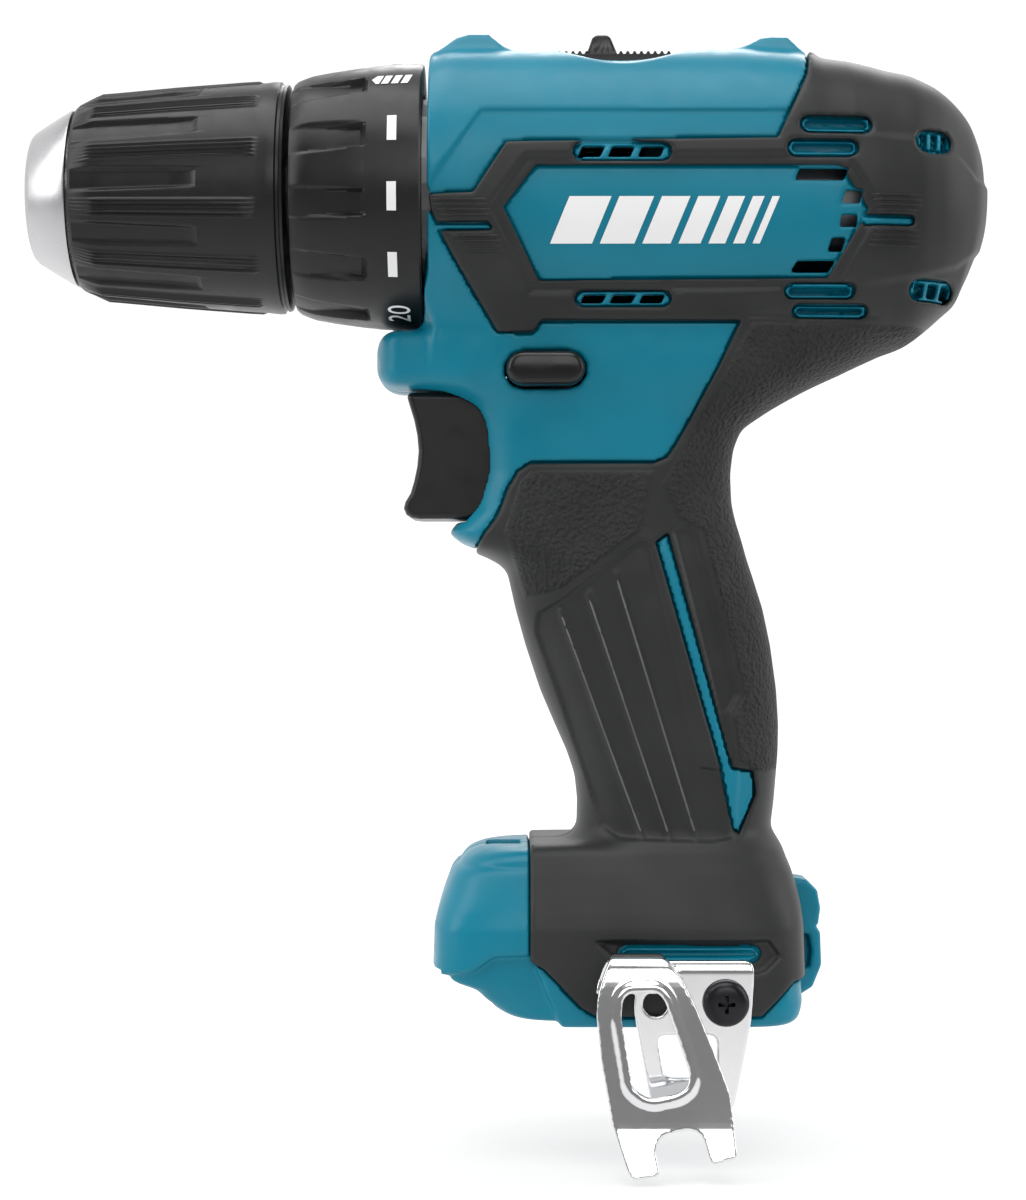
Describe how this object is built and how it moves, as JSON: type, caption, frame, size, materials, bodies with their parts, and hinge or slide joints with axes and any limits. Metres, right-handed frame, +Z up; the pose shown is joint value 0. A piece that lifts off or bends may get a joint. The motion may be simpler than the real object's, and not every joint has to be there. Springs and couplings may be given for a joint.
{
  "type": "cordless drill driver",
  "caption": "Compact pistol-grip cordless drill body with keyless chuck, torque ring, speed knob, trigger, belt clip and an empty slide-on battery foot.",
  "frame": {"origin": "middle of the battery terminal block's underside, level with the foot's underside", "axes": "-X out of the chuck along the spindle, +Z up from the battery foot to the barrel, +Y to the user's right hand side; the belt clip is on -Y"},
  "size_m": [0.1892, 0.0678, 0.2191],
  "materials": {
    "housing_teal": "satin moulded ABS",
    "rubber_black": "soft overmould",
    "plastic_black": "moulded nylon",
    "plastic_white": "moulded nylon",
    "silver": "satin",
    "chrome": "polished",
    "steel": "machined",
    "dark_steel": "black oxide",
    "cast": "die cast",
    "copper": "plain",
    "brass": "plain",
    "lead_red": "wire cover",
    "lead_black": "wire cover",
    "lens": "clear"
  },
  "bodies": {
    "housing": {"shell_left": "housing_teal", "shell_right": "housing_teal", "grip_left": "rubber_black", "grip_right": "rubber_black", "trigger_spring": "steel", "switch_body": "plastic_black", "gear_case": "cast", "motor_bracket": "plastic_white", "motor_can": "steel", "motor_end_cap": "plastic_black", "brush_1": "copper", "brush_2": "copper", "magnet_1": "dark_steel", "magnet_2": "dark_steel", "ring_gear_1": "steel", "ring_gear_3": "steel", "spindle_bearing": "steel", "clutch_spring": "steel", "terminal_block": "plastic_black", "terminal_negative": "brass", "terminal_positive": "brass", "lead_negative": "lead_black", "lead_positive": "lead_red", "led_lens": "lens", "belt_clip": "chrome", "clip_screw": "dark_steel", "case_screw_1": "dark_steel", "case_screw_2": "dark_steel", "case_screw_3": "dark_steel", "case_screw_4": "dark_steel"},
    "rotor": {"motor_shaft": "steel", "armature_core": "steel", "commutator": "copper", "cooling_fan": "plastic_black", "motor_pinion": "steel"},
    "stage_1_carrier": {"carrier_1": "steel"},
    "stage_2_carrier": {"carrier_2": "steel"},
    "output": {"spindle": "steel", "chuck_body": "silver", "chuck_screw": "steel"},
    "sleeve": {"chuck_sleeve": "plastic_black"},
    "jaw_a": {"jaw_1": "steel"},
    "jaw_b": {"jaw_2": "steel"},
    "jaw_c": {"jaw_3": "steel"},
    "torque_ring": {"clutch_ring": "plastic_black"},
    "pressure_plate": {"clutch_plate": "steel"},
    "speed_selector": {"speed_knob": "plastic_black", "shift_yoke": "steel", "ring_gear_2": "steel"},
    "trigger_piece": {"trigger": "plastic_black"},
    "lever": {"direction_lever": "plastic_black"},
    "planet_1a": {"planet_1_a": "steel"},
    "planet_1b": {"planet_1_b": "steel"},
    "planet_1c": {"planet_1_c": "steel"},
    "planet_2a": {"planet_2_a": "steel"},
    "planet_2b": {"planet_2_b": "steel"},
    "planet_2c": {"planet_2_c": "steel"},
    "planet_3a": {"planet_3_a": "steel"},
    "planet_3b": {"planet_3_b": "steel"},
    "planet_3c": {"planet_3_c": "steel"}
  },
  "joints": [
    {"name": "motor_spin", "type": "hinge", "parent": "housing", "child": "rotor", "pos_m": [0, 0, 0.1618], "axis": [1, 0, 0], "continuous": true},
    {"name": "carrier_1_spin", "type": "hinge", "parent": "housing", "child": "stage_1_carrier", "pos_m": [0, 0, 0.1618], "axis": [1, 0, 0], "continuous": true},
    {"name": "carrier_2_spin", "type": "hinge", "parent": "housing", "child": "stage_2_carrier", "pos_m": [0, 0, 0.1618], "axis": [1, 0, 0], "continuous": true},
    {"name": "spindle_spin", "type": "hinge", "parent": "housing", "child": "output", "pos_m": [0, 0, 0.1618], "axis": [1, 0, 0], "continuous": true},
    {"name": "planet_1a_spin", "type": "hinge", "parent": "stage_1_carrier", "child": "planet_1a", "pos_m": [0, 0.0096, 0.1618], "axis": [1, 0, 0], "continuous": true},
    {"name": "planet_1b_spin", "type": "hinge", "parent": "stage_1_carrier", "child": "planet_1b", "pos_m": [0, -0.0048, 0.17011], "axis": [1, 0, 0], "continuous": true},
    {"name": "planet_1c_spin", "type": "hinge", "parent": "stage_1_carrier", "child": "planet_1c", "pos_m": [0, -0.0048, 0.15349], "axis": [1, 0, 0], "continuous": true},
    {"name": "planet_2a_spin", "type": "hinge", "parent": "stage_2_carrier", "child": "planet_2a", "pos_m": [0, 0.00972, 0.1618], "axis": [1, 0, 0], "continuous": true},
    {"name": "planet_2b_spin", "type": "hinge", "parent": "stage_2_carrier", "child": "planet_2b", "pos_m": [0, -0.00486, 0.17022], "axis": [1, 0, 0], "continuous": true},
    {"name": "planet_2c_spin", "type": "hinge", "parent": "stage_2_carrier", "child": "planet_2c", "pos_m": [0, -0.00486, 0.15338], "axis": [1, 0, 0], "continuous": true},
    {"name": "planet_3a_spin", "type": "hinge", "parent": "output", "child": "planet_3a", "pos_m": [0, 0.0108, 0.1618], "axis": [1, 0, 0], "continuous": true},
    {"name": "planet_3b_spin", "type": "hinge", "parent": "output", "child": "planet_3b", "pos_m": [0, -0.0054, 0.17115], "axis": [1, 0, 0], "continuous": true},
    {"name": "planet_3c_spin", "type": "hinge", "parent": "output", "child": "planet_3c", "pos_m": [0, -0.0054, 0.15245], "axis": [1, 0, 0], "continuous": true},
    {"name": "sleeve_turn", "type": "hinge", "parent": "output", "child": "sleeve", "pos_m": [0, 0, 0.1618], "axis": [1, 0, 0], "range_deg": [0, 3360]},
    {"name": "jaw_a_slide", "type": "slide", "parent": "output", "child": "jaw_a", "axis": [-0.9563, 0, -0.2924], "range_m": [0, 0.01539]},
    {"name": "jaw_b_slide", "type": "slide", "parent": "output", "child": "jaw_b", "axis": [-0.9563, 0.2532, 0.1462], "range_m": [0, 0.01539]},
    {"name": "jaw_c_slide", "type": "slide", "parent": "output", "child": "jaw_c", "axis": [-0.9563, -0.2532, 0.1462], "range_m": [0, 0.01539]},
    {"name": "torque_ring_turn", "type": "hinge", "parent": "housing", "child": "torque_ring", "pos_m": [0, 0, 0.1618], "axis": [-1, 0, 0], "range_deg": [-282, 38]},
    {"name": "pressure_plate_slide", "type": "slide", "parent": "housing", "child": "pressure_plate", "axis": [1, 0, 0], "range_m": [-0.0006, 0.00445], "deforming": ["clutch_spring"]},
    {"name": "speed_shift", "type": "slide", "parent": "housing", "child": "speed_selector", "axis": [1, 0, 0], "range_m": [0, 0.005]},
    {"name": "trigger_pull", "type": "slide", "parent": "housing", "child": "trigger_piece", "axis": [1, 0, 0], "range_m": [0, 0.006], "stiffness_N_per_m": 1500, "deforming": ["trigger_spring"]},
    {"name": "direction_slide", "type": "slide", "parent": "housing", "child": "lever", "axis": [0, 1, 0], "range_m": [-0.003, 0.003]}
  ],
  "couplings": [
    {"joint": "carrier_1_spin", "follows": "motor_spin", "ratio": 0.25},
    {"joint": "carrier_2_spin", "follows": "motor_spin", "ratio": 0.064815},
    {"joint": "spindle_spin", "follows": "motor_spin", "ratio": 0.021605},
    {"joint": "planet_1a_spin", "follows": "motor_spin", "ratio": -0.75},
    {"joint": "planet_1b_spin", "follows": "motor_spin", "ratio": -0.75},
    {"joint": "planet_1c_spin", "follows": "motor_spin", "ratio": -0.75},
    {"joint": "planet_2a_spin", "follows": "motor_spin", "ratio": -0.19943},
    {"joint": "planet_2b_spin", "follows": "motor_spin", "ratio": -0.19943},
    {"joint": "planet_2c_spin", "follows": "motor_spin", "ratio": -0.19943},
    {"joint": "planet_3a_spin", "follows": "motor_spin", "ratio": -0.08642},
    {"joint": "planet_3b_spin", "follows": "motor_spin", "ratio": -0.08642},
    {"joint": "planet_3c_spin", "follows": "motor_spin", "ratio": -0.08642},
    {"joint": "jaw_a_slide", "follows": "sleeve_turn", "m_per_rad": 0.00026245},
    {"joint": "jaw_b_slide", "follows": "sleeve_turn", "m_per_rad": 0.00026245},
    {"joint": "jaw_c_slide", "follows": "sleeve_turn", "m_per_rad": 0.00026245},
    {"joint": "pressure_plate_slide", "follows": "torque_ring_turn", "m_per_rad": -0.0009}
  ]
}
